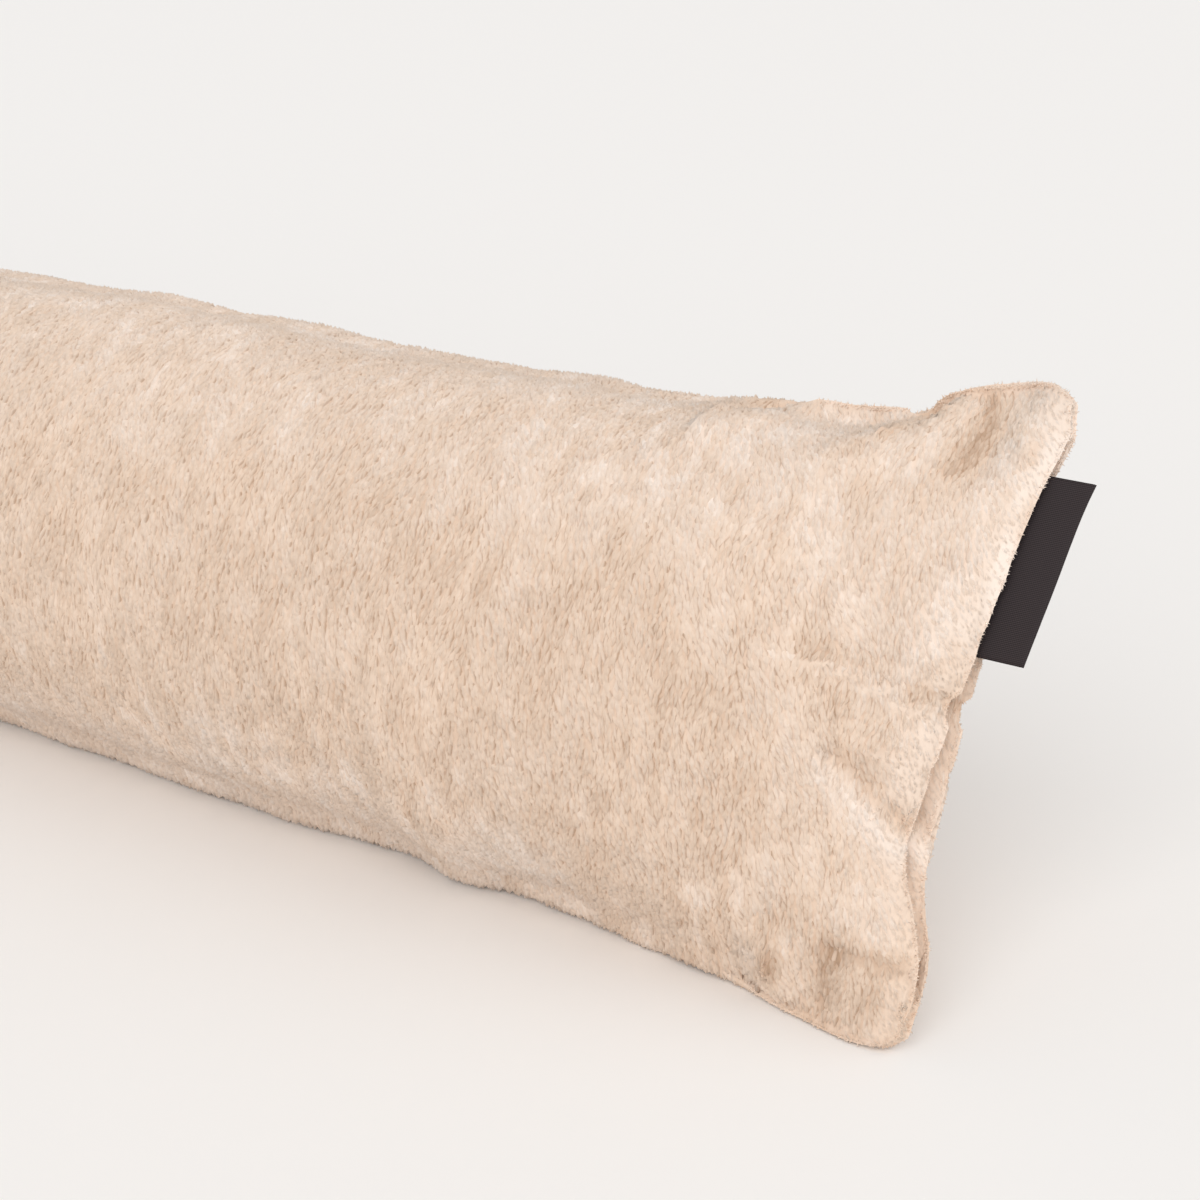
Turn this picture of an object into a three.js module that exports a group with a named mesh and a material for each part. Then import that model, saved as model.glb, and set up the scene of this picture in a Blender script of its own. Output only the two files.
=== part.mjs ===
// A draught excluder: a long plush cushion that lies along the foot of a door.
// A front and a back panel are sewn together all round and filled. The middle is a round roll, and
// each end closes in one seam with a flat ear at both corners. A folded ribbon label is caught in
// one end seam.
// Millimetres. +Z is up from the floor, +X runs along the roll to the labelled end, and the front
// panel faces -Y. The origin is on the floor, under the middle of the roll.
import * as THREE from "three";
import { ParametricGeometry } from "three/addons/geometries/ParametricGeometry.js";

// Driving sizes of the filled cover, measured over the pile
const LENGTH = 880; // from ear tip to ear tip
const SEAM_LEAN = THREE.MathUtils.degToRad(29.6); // the end seams lean back from the upright
const EAR_RADIUS = 11; // rounding of the sewn corners
const LIP = 4; // half the thickness of the two plush layers at an end seam
const LIP_ROUND = 0.35; // how bluntly the lips end at the ears
const GROOVE_DEPTH = 5; // how far the stitch line lies behind the two lips
const LONG_SEAM_DEPTH = 2.5; // how far the long seams pull the pile in
const LONG_SEAM_REACH = 7; // half width of that dip
const LONG_SEAM_SLACK = 21; // half width of the puckers beside a long seam
const DRAW_REACH = 60; // how far from an end seam its drawing in is felt
const BACK_REACH = 22; // how far from it the back panel's edge bulges
const EARS_END = 20; // where the flat ears turn into the roll
const ROLL_BEGINS = 120; // where the roll is fully round
const LABEL_LENGTH = 47; // along the seam
const LABEL_TOP = 61; // the label's upper end, measured up the seam from its middle
const LABEL_SHOWS = 11.8; // how far the folded label stands out of the seam
const LABEL_CAUGHT = 2.2; // how far it goes in between the lips
const LABEL_PLY = 1; // one layer of the ribbon
const LABEL_GAP = 0.5; // between its two layers

// How finely the surface is drawn
const STEPS_AROUND = 66;
const STEPS_ALONG = 84;
const END_CROWDING = 0.34; // steps at the ends are this share of the mean step
const END_GROWTH = 2.2; // and they grow towards the middle by this power
const SEAM_CROWDING = 0.3; // steps at the long seams are this much shorter than the mean
const NEAR = 0.5; // distance to the neighbours that give a point's way out
const NEAR_TURN = 0.02; // and the angle to them
const PANEL_EDGE = 0.12; // how softly a fold ends at the long seams

// Sections of the filled cover, from an end inwards. half is measured along the seam direction and
// depth square to it. crown is 1 for a round section and more for a lens with flat wings. across
// and height place the section's middle.
const SECTIONS = [
  { fromEnd: 0, half: 83.5, depth: 0, crown: 2.6, across: -10.7, height: 73.7 },
  { fromEnd: 12, half: 83.5, depth: 11, crown: 2.4, across: -10, height: 73 },
  { fromEnd: 30, half: 79.5, depth: 25, crown: 2.0, across: -8, height: 70 },
  { fromEnd: 40, half: 75.5, depth: 31.5, crown: 1.85, across: -7.4, height: 67.2 },
  { fromEnd: 70, half: 73.2, depth: 45.5, crown: 1.45, across: -5, height: 66.8 },
  { fromEnd: 100, half: 71, depth: 54, crown: 1.2, across: -2.5, height: 64.5 },
  { fromEnd: 150, half: 69.5, depth: 59.5, crown: 1.03, across: 0, height: 63.3 },
  { fromEnd: 440, half: 69.5, depth: 60, crown: 1, across: 0, height: 63 },
];

// How far each end seam is drawn in, at shares of the way from its upper (1) to its lower ear (-1).
// back is how far the back panel's edge stands out past it.
const LABEL_END_SEAM = [
  { share: 1, drawn: -1.8, back: 0.5 },
  { share: 0.75, drawn: 2.4, back: 0 },
  { share: 0.43, drawn: 5.2, back: 0 },
  { share: 0.1, drawn: 8, back: 0.6 },
  { share: -0.15, drawn: 9.8, back: 3 },
  { share: -0.43, drawn: 12, back: 5 },
  { share: -0.52, drawn: 12.4, back: 5.4 },
  { share: -0.66, drawn: 7.4, back: 1.8 },
  { share: -0.85, drawn: 2, back: 1.4 },
  { share: -1, drawn: 1.2, back: 1 },
];
const PLAIN_END_SEAM = [
  { share: 1, drawn: 0, back: 0 },
  { share: 0.7, drawn: 3, back: 1 },
  { share: 0.1, drawn: 11, back: 3 },
  { share: -0.5, drawn: 8, back: 0 },
  { share: -0.8, drawn: 1, back: -1 },
  { share: -1, drawn: 0, back: 0 },
];

// Folds of the cover. Each runs over one panel from one point to another, given as the distance
// from the end and the height up the seam direction. reach is its half width, and rise is how far
// it stands out, or dips in where negative.
const LABEL_END_FOLDS = [
  { panel: 1, from: [4.5, 66], to: [4.5, 62], reach: 3.5, rise: -2.5 }, // dimple by the label
  { panel: 1, from: [37, 74], to: [49, 56], reach: 6.5, rise: -6 }, // from the ear to the roll
  { panel: 1, from: [60, 73], to: [75, 72], reach: 9, rise: 2 }, // hump beside it
  { panel: 1, from: [84, 72], to: [90, 55], reach: 6, rise: -4.5 }, // beyond the hump
  { panel: 1, from: [17, -22], to: [3, -36], reach: 6, rise: 4.5 }, // ridge to the pinched seam
  { panel: 1, from: [12, -17], to: [1, -29], reach: 6, rise: -4 }, // trough above the ridge
  { panel: 1, from: [7, 9], to: [1, 12], reach: 4.5, rise: -2.5 }, // tuck under the label
  { panel: 1, from: [11, -61], to: [3, -66], reach: 5.5, rise: -4 }, // flat of the lower ear
  { panel: 1, from: [37, -73], to: [38, -66], reach: 5, rise: -5 }, // dimple by the lower ear
  { panel: 1, from: [60, -72], to: [59, -62], reach: 6, rise: -4 }, // pucker of the lower seam
  { panel: 1, from: [139, -69], to: [134, -58], reach: 7, rise: -5 }, // deeper pucker further on
  { panel: 1, from: [141, -26], to: [147, -60], reach: 8, rise: -2.4 }, // slack above that pucker
  { panel: -1, from: [46, 66], to: [64, 46], reach: 9, rise: -4 },
  { panel: -1, from: [26, 14], to: [8, 10], reach: 7, rise: -3 },
  { panel: -1, from: [32, -50], to: [14, -44], reach: 8, rise: -4 },
];
const PLAIN_END_FOLDS = [
  { panel: 1, from: [16, 72], to: [28, 56], reach: 8, rise: -6 },
  { panel: 1, from: [48, 70], to: [66, 50], reach: 9, rise: -5 },
  { panel: 1, from: [30, 30], to: [5, 26], reach: 7, rise: -3 },
  { panel: 1, from: [34, -6], to: [5, -10], reach: 8, rise: 3.5 },
  { panel: 1, from: [18, -58], to: [30, -70], reach: 8, rise: -5 },
  { panel: -1, from: [15, 70], to: [26, 52], reach: 8, rise: -6 },
  { panel: -1, from: [44, 68], to: [60, 46], reach: 9, rise: -4.5 },
  { panel: -1, from: [32, 6], to: [5, 2], reach: 8, rise: -3.5 },
  { panel: -1, from: [18, -56], to: [28, -66], reach: 8, rise: -5 },
];
const FOLD_POINTS = 6; // points that a fold's line is followed by
const DIP_SHARE = 0.55; // a fold dips no further than this share of the way to the middle

// Bends of the flat ears, which both panels follow together. rise is towards the front.
const LABEL_END_BENDS = [
  { from: [18, 84], to: [17, 58], reach: 6.5, rise: -6 }, // behind the upper ear
  { from: [3, 84], to: [4, 78], reach: 6, rise: 2 }, // its tip turns forwards
];
const PLAIN_END_BENDS = [{ from: [20, 84], to: [18, 58], reach: 8, rise: 4 }];

// The filling is uneven: swells of the roll along its length
const SWELLS = [
  { wave: 310, rise: 0.6, shift: 0.6 },
  { wave: 137, rise: 0.5, shift: 2.1 },
  { wave: 71, rise: 0.35, shift: 4.0 },
];
const PUCKER_WAVES = [53, 31]; // puckers along the long seams
const PUCKER_RISE = 0.6;

const UP_SEAM = new THREE.Vector2(Math.sin(SEAM_LEAN), Math.cos(SEAM_LEAN));
const OUT_FRONT = new THREE.Vector2(-Math.cos(SEAM_LEAN), Math.sin(SEAM_LEAN));

// A smooth curve through the rows of a table, read at one place.
function readTable(rows, placeName, valueName, place) {
  const rising = rows[rows.length - 1][placeName] > rows[0][placeName] ? 1 : -1;
  let i = 0;
  while (i < rows.length - 2 && (place - rows[i + 1][placeName]) * rising > 0) i += 1;
  const at = (k) => rows[THREE.MathUtils.clamp(k, 0, rows.length - 1)];
  const slope = (k) => {
    const run = at(k + 1)[placeName] - at(k - 1)[placeName];
    return (at(k + 1)[valueName] - at(k - 1)[valueName]) / run;
  };
  const step = rows[i + 1][placeName] - rows[i][placeName];
  const t = THREE.MathUtils.clamp((place - rows[i][placeName]) / step, 0, 1);
  const keep = (1 + 2 * t) * (1 - t) ** 2;
  const leave = t * (1 - t) ** 2 * step * slope(i);
  const arrive = (t - 1) * t ** 2 * step * slope(i + 1);
  return keep * rows[i][valueName] + leave + arrive + (1 - keep) * rows[i + 1][valueName];
}

// Half of the section along the seam direction, with the ear's corner rounded off.
function halfAt(fromEnd) {
  const inside = Math.max(0, EAR_RADIUS - Math.max(0, fromEnd));
  const corner = EAR_RADIUS - Math.sqrt(EAR_RADIUS ** 2 - inside ** 2);
  return readTable(SECTIONS, "fromEnd", "half", fromEnd) - corner + Math.min(0, fromEnd);
}

// How far the end seam pulls a point inwards, which fades away from the seam.
function drawnAt(end, fromEnd, share) {
  const seam = end > 0 ? LABEL_END_SEAM : PLAIN_END_SEAM;
  return readTable(seam, "share", "drawn", share) * Math.exp(-((fromEnd / DRAW_REACH) ** 2));
}

// How far the back panel's edge stands out past the front panel's.
function backAt(end, fromEnd, share) {
  const seam = end > 0 ? LABEL_END_SEAM : PLAIN_END_SEAM;
  return readTable(seam, "share", "back", share) * Math.exp(-((fromEnd / BACK_REACH) ** 2));
}

// How far a panel stands out from the plane of the seams.
function outAt(fromEnd, angle) {
  const body = Math.max(0, fromEnd);
  const bulge = Math.abs(Math.sin(angle));
  const lip = LIP * bulge ** LIP_ROUND * Math.min(1, 1 + fromEnd / GROOVE_DEPTH);
  const depth = readTable(SECTIONS, "fromEnd", "depth", body);
  const crown = readTable(SECTIONS, "fromEnd", "crown", body);
  return Math.sign(Math.sin(angle)) * (lip + depth * bulge ** crown);
}

// A point of the cover before its folds. end is 1 or -1. fromEnd is the distance from that end's
// ear tips, and negative in the groove between the lips. angle runs from the upper long seam, over
// the front panel to the lower one and back over the back panel.
function coverPoint(end, fromEnd, angle, target) {
  const inGroove = Math.max(0, -fromEnd);
  const body = Math.max(0, fromEnd);
  const share = Math.cos(angle);
  const up = halfAt(fromEnd) * share;
  const out = outAt(fromEnd, angle);
  const across = readTable(SECTIONS, "fromEnd", "across", body);
  const height = readTable(SECTIONS, "fromEnd", "height", body);
  const back = out < 0 ? backAt(end, body, share) * (1 - inGroove / GROOVE_DEPTH) : 0;
  const inwards = body + inGroove + drawnAt(end, body, share) - back;
  return target.set(
    end * (LENGTH / 2 - inwards),
    across + up * UP_SEAM.x + out * OUT_FRONT.x,
    height + up * UP_SEAM.y + out * OUT_FRONT.y,
  );
}

// The way out of the cover at a point, from its neighbours on the surface.
function coverNormal(end, fromEnd, angle) {
  const ahead = coverPoint(end, fromEnd + NEAR, angle, new THREE.Vector3());
  const behind = coverPoint(end, fromEnd - NEAR, angle, new THREE.Vector3());
  const left = coverPoint(end, fromEnd, angle + NEAR_TURN, new THREE.Vector3());
  const right = coverPoint(end, fromEnd, angle - NEAR_TURN, new THREE.Vector3());
  return ahead.sub(behind).cross(left.sub(right)).multiplyScalar(-end).normalize();
}

// The line of a fold as points on the cover.
function foldLine(end, fold) {
  const points = [];
  for (let i = 0; i < FOLD_POINTS; i += 1) {
    const t = i / (FOLD_POINTS - 1);
    const fromEnd = THREE.MathUtils.lerp(fold.from[0], fold.to[0], t);
    const up = THREE.MathUtils.lerp(fold.from[1], fold.to[1], t);
    const share = THREE.MathUtils.clamp(up / halfAt(fromEnd), -1, 1);
    const angle = (fold.panel ?? 1) * Math.acos(share);
    points.push(coverPoint(end, fromEnd, angle, new THREE.Vector3()));
  }
  return points;
}

const withLines = (end, rows) => rows.map((fold) => ({ ...fold, line: foldLine(end, fold) }));
const FOLDS = { 1: withLines(1, LABEL_END_FOLDS), "-1": withLines(-1, PLAIN_END_FOLDS) };
const BENDS = { 1: withLines(1, LABEL_END_BENDS), "-1": withLines(-1, PLAIN_END_BENDS) };

// Distance from a point to a fold's line.
function distanceToLine(point, line) {
  const closest = new THREE.Vector3();
  let nearest = Infinity;
  for (let i = 0; i + 1 < line.length; i += 1) {
    new THREE.Line3(line[i], line[i + 1]).closestPointToPoint(point, true, closest);
    nearest = Math.min(nearest, closest.distanceTo(point));
  }
  return nearest;
}

// How far the folds of its panel lift the cover at a point.
function foldRise(end, fromEnd, angle, point) {
  let rise = 0;
  for (const fold of FOLDS[end]) {
    const across = Math.sin(angle) * fold.panel;
    const onPanel = THREE.MathUtils.smoothstep(across, -PANEL_EDGE, PANEL_EDGE);
    const away = distanceToLine(point, fold.line) / fold.reach;
    rise += fold.rise * onPanel * Math.exp(-(away ** 2));
  }
  return Math.max(rise, -DIP_SHARE * Math.abs(outAt(fromEnd, angle)));
}

// How far a bend carries both panels towards the front.
function bendRise(end, fromEnd, angle) {
  const onFront = Math.min(angle, 2 * Math.PI - angle);
  const point = coverPoint(end, fromEnd, onFront, new THREE.Vector3());
  let rise = 0;
  for (const bend of BENDS[end]) {
    const away = distanceToLine(point, bend.line) / bend.reach;
    rise += bend.rise * Math.exp(-(away ** 2));
  }
  return rise;
}

// How far the long seams and the uneven filling lift the cover.
function rollRise(fromEnd, angle, x) {
  const toSeam = Math.asin(Math.abs(Math.sin(angle))) * halfAt(fromEnd);
  const atSeam = Math.exp(-((toSeam / LONG_SEAM_REACH) ** 2));
  const nearSeam = Math.exp(-((toSeam / LONG_SEAM_SLACK) ** 2));
  const inRoll = THREE.MathUtils.smoothstep(fromEnd, EARS_END, ROLL_BEGINS);
  let swell = 0;
  for (const { wave, rise, shift } of SWELLS) {
    swell += rise * Math.sin((2 * Math.PI * x) / wave + shift + Math.cos(angle));
  }
  let pucker = 0;
  for (const wave of PUCKER_WAVES) pucker += PUCKER_RISE * Math.sin((2 * Math.PI * x) / wave);
  const seamFade = THREE.MathUtils.smoothstep(fromEnd, 0, EARS_END);
  return inRoll * (swell + nearSeam * pucker) - seamFade * LONG_SEAM_DEPTH * atSeam;
}

// The finished surface. around and along run from 0 to 1 over the whole cover.
function coverSurface(around, along, target) {
  const end = along < 0.5 ? -1 : 1;
  const half = 1 - Math.abs(2 * along - 1);
  const crowded = END_CROWDING * half + (1 - END_CROWDING) * half ** END_GROWTH;
  const fromEnd = crowded * (LENGTH / 2 + GROOVE_DEPTH) - GROOVE_DEPTH;
  const turn = 2 * Math.PI * (around % 1); // the last column is the first again
  const angle = turn - (SEAM_CROWDING / 2) * Math.sin(2 * turn);
  coverPoint(end, fromEnd, angle, target);
  const rise = foldRise(end, fromEnd, angle, target) + rollRise(fromEnd, angle, target.x);
  const lipFade = THREE.MathUtils.smoothstep(fromEnd, -GROOVE_DEPTH, 2 * LIP);
  target.addScaledVector(coverNormal(end, fromEnd, angle), rise * lipFade);
  const bend = bendRise(end, fromEnd, angle);
  target.y += bend * OUT_FRONT.x;
  target.z += bend * OUT_FRONT.y;
  target.z = Math.max(0, target.z); // pressed flat where it lies on the floor
}

function makeCushion() {
  const geometry = new ParametricGeometry(coverSurface, STEPS_AROUND, STEPS_ALONG);
  const plush = new THREE.MeshStandardMaterial({ color: 0xe1c7b1, roughness: 0.95, metalness: 0 });
  const mesh = new THREE.Mesh(geometry, plush);
  mesh.name = "cushion";
  return mesh;
}

// Outline of the folded ribbon, seen along the seam: two layers joined by a round fold.
function foldedRibbon() {
  const outer = LABEL_PLY + LABEL_GAP / 2;
  const inner = LABEL_GAP / 2;
  const bend = LABEL_SHOWS - outer;
  const shape = new THREE.Shape();
  shape.moveTo(-LABEL_CAUGHT, -outer);
  shape.lineTo(bend, -outer);
  shape.absarc(bend, 0, outer, -Math.PI / 2, Math.PI / 2, false);
  shape.lineTo(-LABEL_CAUGHT, outer);
  shape.lineTo(-LABEL_CAUGHT, inner);
  shape.lineTo(bend, inner);
  shape.absarc(bend, 0, inner, Math.PI / 2, -Math.PI / 2, true);
  shape.lineTo(-LABEL_CAUGHT, -inner);
  shape.closePath();
  return shape;
}

// The ribbon follows the end seam that it is caught in.
function makeLabel() {
  const settings = { depth: LABEL_LENGTH, steps: 12, bevelEnabled: false, curveSegments: 6 };
  const geometry = new THREE.ExtrudeGeometry(foldedRibbon(), settings);
  geometry.translate(0, 0, LABEL_TOP - LABEL_LENGTH);
  const place = geometry.getAttribute("position");
  for (let i = 0; i < place.count; i += 1) {
    place.setX(i, place.getX(i) - drawnAt(1, 0, place.getZ(i) / halfAt(0)));
  }
  const ribbon = new THREE.MeshStandardMaterial({ color: 0x2b2627, roughness: 0.6, metalness: 0 });
  const mesh = new THREE.Mesh(geometry, ribbon);
  mesh.name = "label";
  mesh.position.set(LENGTH / 2, SECTIONS[0].across, SECTIONS[0].height);
  mesh.rotation.x = -SEAM_LEAN;
  return mesh;
}

const draughtExcluder = new THREE.Group();
draughtExcluder.add(makeCushion(), makeLabel());
export default draughtExcluder;
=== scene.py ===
# %% [markdown]
# A draught excluder is a long cushion of plush that lies along the foot of a door. This lesson
# dresses its plain solids: it grows a short pile over the filled cover, folds a satin ribbon for
# the label, and sets up a pale studio floor with the camera of the photograph.
# Sizes are in metres, except where a name ends in _MM, _MM2 or _PX, and in the table of creases.

# %% Load the solids
import math

import bmesh
import bpy
import numpy as np
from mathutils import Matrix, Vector
from mathutils.bvhtree import BVHTree


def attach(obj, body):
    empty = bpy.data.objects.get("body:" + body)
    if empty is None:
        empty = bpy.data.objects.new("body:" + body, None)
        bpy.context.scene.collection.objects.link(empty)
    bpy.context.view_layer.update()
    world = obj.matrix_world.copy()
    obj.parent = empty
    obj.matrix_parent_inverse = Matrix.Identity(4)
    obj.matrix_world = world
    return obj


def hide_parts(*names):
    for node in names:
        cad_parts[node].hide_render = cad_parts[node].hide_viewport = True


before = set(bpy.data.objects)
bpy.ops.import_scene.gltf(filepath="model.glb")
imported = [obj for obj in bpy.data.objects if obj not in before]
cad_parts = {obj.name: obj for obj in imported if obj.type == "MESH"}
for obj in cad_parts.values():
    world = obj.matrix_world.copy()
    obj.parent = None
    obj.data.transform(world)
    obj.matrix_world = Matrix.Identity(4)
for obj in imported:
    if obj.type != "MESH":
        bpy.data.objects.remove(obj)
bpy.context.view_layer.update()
MM = 0.001

# %% [markdown]
# The camera comes first, because every later choice is judged through it. It stands in front of
# the labelled end and looks down on it, so that the roll runs away to the left, out of the picture.
# Place, direction and lens were worked out from the roll's outline and the leaning end seam.

# %% Camera
PICTURE_WIDTH_PX = 1200
FOCAL_LENGTH_PX = 2200
SENSOR_WIDTH_MM = 36
NEAREST_SEEN = 0.01
CAMERA_PLACE = (0.6078, -0.4676, 0.3114)
CAMERA_DOWN = math.radians(23.35)
CAMERA_TURN = math.radians(31.38)

lens = bpy.data.cameras.new("photo_lens")
lens.sensor_width = SENSOR_WIDTH_MM
lens.lens = SENSOR_WIDTH_MM * FOCAL_LENGTH_PX / PICTURE_WIDTH_PX
lens.clip_start = NEAREST_SEEN
camera = bpy.data.objects.new("photo_camera", lens)
camera.location = CAMERA_PLACE
camera.rotation_euler = (math.pi / 2 - CAMERA_DOWN, 0, CAMERA_TURN)
bpy.context.scene.collection.objects.link(camera)
bpy.context.scene.camera = camera
print("camera lens in mm:", round(lens.lens, 1))

# %% [markdown]
# Nothing on a brushed cloth is even, so many values below wander from place to place. Blender has
# noise textures for shaders, but a mesh needs the same kind of noise in its points. A lattice of
# repeatable random numbers, smoothly mixed, gives that for many points at once, and always the
# same on each run. Each kind of noise below is kept as the size of its waves and a seed.

# %% Repeatable noise over many points
RANDOM = np.random.default_rng(seed=4)
# large odd numbers that scramble the cell's three counts, the seed and the sum of them
CELL_FACTORS = (73856093, 19349663, 83492791)
SEED_FACTOR = 668265263
MIX_FACTOR = 0x45D9F3B
MIX_ROUNDS = 2
WORD_BITS = 32
WORD = 2**WORD_BITS - 1


def lattice(cells, seed):
    """One number from 0 to 1 for each cell, the same on every run."""
    mixed = seed * SEED_FACTOR
    for axis, factor in enumerate(CELL_FACTORS):
        mixed = mixed ^ cells[..., axis] * factor
    mixed = mixed & WORD
    for _ in range(MIX_ROUNDS):
        mixed = ((mixed >> WORD_BITS // 2) ^ mixed) * MIX_FACTOR & WORD
    return ((mixed >> WORD_BITS // 2) ^ mixed) / 2**WORD_BITS


def ease(share):
    """A share from 0 to 1 that starts and ends softly."""
    return share * share * (3 - 2 * share)


def wander(points, size, seed):
    """Smooth noise from about -1 to 1. size is one wave in metres, or one for each axis."""
    scaled = points / np.asarray(size)
    cell = np.floor(scaled).astype(np.int64)
    part = ease(scaled - cell)
    total = np.zeros(len(points))
    for corner in np.ndindex(2, 2, 2):
        weight = np.prod(np.where(corner, part, 1 - part), axis=1)
        total += weight * lattice(cell + np.array(corner), seed)
    return 2 * total - 1


def smooth_step(values, low, high):
    """0 below low, 1 above high, and a soft change between."""
    return ease(np.clip((values - low) / (high - low), 0, 1))


print("noise sample:", wander(np.array([[0.1, 0.2, 0.3]]), 0.02, 1).round(3))

# %% [markdown]
# The panels are sewn in a plane that leans back from the floor. Folds and tones are easiest to place
# in that plane: so far in from the end seam, and so far up it. Its lean and middle are those of the
# part's source. The seam is not straight, because the filling draws it in, so its line is read from the
# solid, for each end and each panel.

# %% The plane of the seams
SEAM_LEAN = math.radians(29.6)
SEAM_MIDDLE = np.array([0, -0.0107, 0.0737])
UP_SEAM = np.array([0, math.sin(SEAM_LEAN), math.cos(SEAM_LEAN)])
OUT_FRONT = np.array([0, -math.cos(SEAM_LEAN), math.sin(SEAM_LEAN)])
ALONG = np.array([1.0, 0, 0])
LEVEL_STEP = 6 * MM
END_FROM_X = 0.3


def read_points(mesh):
    """A mesh's points and the way out at each of them."""
    points = np.zeros(len(mesh.vertices) * 3, np.float32)
    normals = np.zeros_like(points)
    mesh.vertices.foreach_get("co", points)
    mesh.vertices.foreach_get("normal", normals)
    return points.reshape(-1, 3).astype(float), normals.reshape(-1, 3).astype(float)


def on_seam_plane(points):
    """How far up the seam each point is, and how far out to the front."""
    reach = points - SEAM_MIDDLE
    return reach @ UP_SEAM, reach @ OUT_FRONT


def lip_line(end, panel):
    """Levels up an end seam, and how far one panel's lip reaches along the roll at each of them."""
    solid_points, _ = read_points(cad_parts["cushion"].data)
    up, out = on_seam_plane(solid_points)
    reach = solid_points[:, 0] * end
    chosen = (reach > END_FROM_X) & (out * panel > 0)
    up = up[chosen]
    reach = reach[chosen]
    level = (up / LEVEL_STEP).round()
    furthest = [np.where(level == one, reach, 0).argmax() for one in np.unique(level)]
    return up[furthest], reach[furthest]


LIP_LINES = {(end, panel): lip_line(end, panel) for end in (1, -1) for panel in (1, -1)}


def from_seam(points):
    """Distance in from the nearer end seam, at the same level and on the same panel."""
    up, out = on_seam_plane(points)
    distance = np.zeros(len(points))
    for (end, panel), (levels, reach) in LIP_LINES.items():
        chosen = (points[:, 0] * end > 0) & ((out > 0) == (panel > 0))
        distance[chosen] = np.interp(up[chosen], levels, reach) - points[chosen, 0] * end
    return distance


print("levels on each lip:", [len(levels) for levels, _ in LIP_LINES.values()])

# %% [markdown]
# The cover is the woven ground that the pile stands on. Its form is the filled cushion of the
# solids, which already has the crown, the ears, the drawn-in end seams and the main folds. A cloth
# simulation could swell it again, but would lose the folds of the photograph, so a copy of the
# solid is made into quads and subdivided twice. A crease holds the narrow lips of the end seams,
# which would shrink otherwise.

# %% Cover from the filled solid
WELD = 1e-5
SUBDIVISIONS = 2
LIP_ANGLE = math.radians(40)


def cover_mesh():
    """The solid's surface as a smooth mesh of small quads."""
    shape = bmesh.new()
    shape.from_mesh(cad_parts["cushion"].data)
    bmesh.ops.remove_doubles(shape, verts=shape.verts, dist=WELD)
    bmesh.ops.join_triangles(
        shape, faces=shape.faces, angle_face_threshold=math.pi, angle_shape_threshold=math.pi
    )
    crease = shape.edges.layers.float.new("crease_edge")
    for edge in shape.edges:
        edge[crease] = float(edge.calc_face_angle(0) > LIP_ANGLE)
    mesh = bpy.data.meshes.new("cover_cage")
    shape.to_mesh(mesh)
    shape.free()
    cage = bpy.data.objects.new("cover_cage", mesh)
    bpy.context.scene.collection.objects.link(cage)
    smoother = cage.modifiers.new("smooth", "SUBSURF")
    smoother.levels = SUBDIVISIONS
    smoother.render_levels = SUBDIVISIONS
    finished = bpy.data.meshes.new_from_object(cage.evaluated_get(bpy.context.evaluated_depsgraph_get()))
    bpy.data.objects.remove(cage)
    return finished


cover = bpy.data.objects.new("cover", cover_mesh())
bpy.context.scene.collection.objects.link(cover)
print("cover quads:", len(cover.data.polygons))

# %% [markdown]
# Cloth that is drawn in by a seam gets small creases beside it, sharper than the solid's folds. They
# could be painted as bump, but then an outline would never show them. So they are lines on the front
# panel of the labelled end: where each starts and ends, how deep it goes and how wide it is. The nap
# lies differently in a crease and light falls differently on it, so each line also has a tone: painted
# shade below 0, a painted highlight above it.

# %% Creases beside the end seam
FAR_AWAY = 1
FRONT_FACING = (-0.15, 0.1)
# from the seam and up it at both ends of the line, depth, reach (all mm), tone (painted shade below 0,
# painted highlight above)
CREASES = (
    (21.3, 77, 20.0, 59, 0.8, 3.2, -1.0),
    (10.5, 80, 10.0, 62, 0.5, 3.5, 0.15),
    (5.0, 68, 4.5, 64, 1.2, 2.2, -0.7),
    (34.5, 74, 44.0, 58, 1.0, 4.2, -0.4),
    (26.0, 73, 36.0, 57, -1.4, 5.5, 0.25),
    (80.0, 73, 88.0, 56, 2.2, 5.0, -0.35),
    (70.0, 72, 79.0, 56, -1.0, 6.0, 0.2),
    (19.5, -22.8, 0.0, -36.5, -2.2, 3.4, 0.7),
    (15.5, -18.5, 0.5, -31, 1.5, 2.8, -0.3),
    (2.5, 15, 5.0, 8, 0.6, 2.4, -0.35),
    (8.0, 12, 9.0, 6, -0.6, 3.5, 0.5),
    (20.0, -64, 2.0, -63.5, 1.6, 3.0, -0.5),
    (20.0, -65, 21.0, -77, 1.4, 3.0, -0.5),
    (16.0, -55, 6.0, -58.5, -0.8, 4.0, 0.35),
    (35.0, -72.5, 35.0, -71, 1.3, 2.8, -0.7),
    (59.0, -72, 59.0, -64, 1.3, 3.6, -0.35),
    (138.0, -69, 135.0, -60, 1.6, 3.6, -0.5),
    (141.0, -27, 149.0, -64, 0.9, 4.5, -0.25),
)


def away_from_line(distance, up, line):
    """How far in mm places on the seam plane are from a line between two of them."""
    start = np.array(line[0:2])
    way = np.array(line[2:4]) - start
    place = np.column_stack([distance, up]) / MM - start
    share = np.clip(place @ way / (way @ way), 0, 1)
    return np.linalg.norm(place - share[:, None] * way, axis=1)


def near_creases(points, normals):
    """For each crease, its depth in metres, its tone of painted shade or highlight, and how close the points
    are to it, from 0 to 1.
    """
    up, _ = on_seam_plane(points)
    distance = np.where(points[:, 0] > 0, from_seam(points), FAR_AWAY)
    front = smooth_step(normals @ OUT_FRONT, *FRONT_FACING)
    for line in CREASES:
        *_, depth_mm, reach_mm, tone = line
        nearness = np.exp(-((away_from_line(distance, up, line) / reach_mm) ** 2))
        yield depth_mm * MM, tone, front * nearness


print("creases:", len(CREASES))

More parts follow.
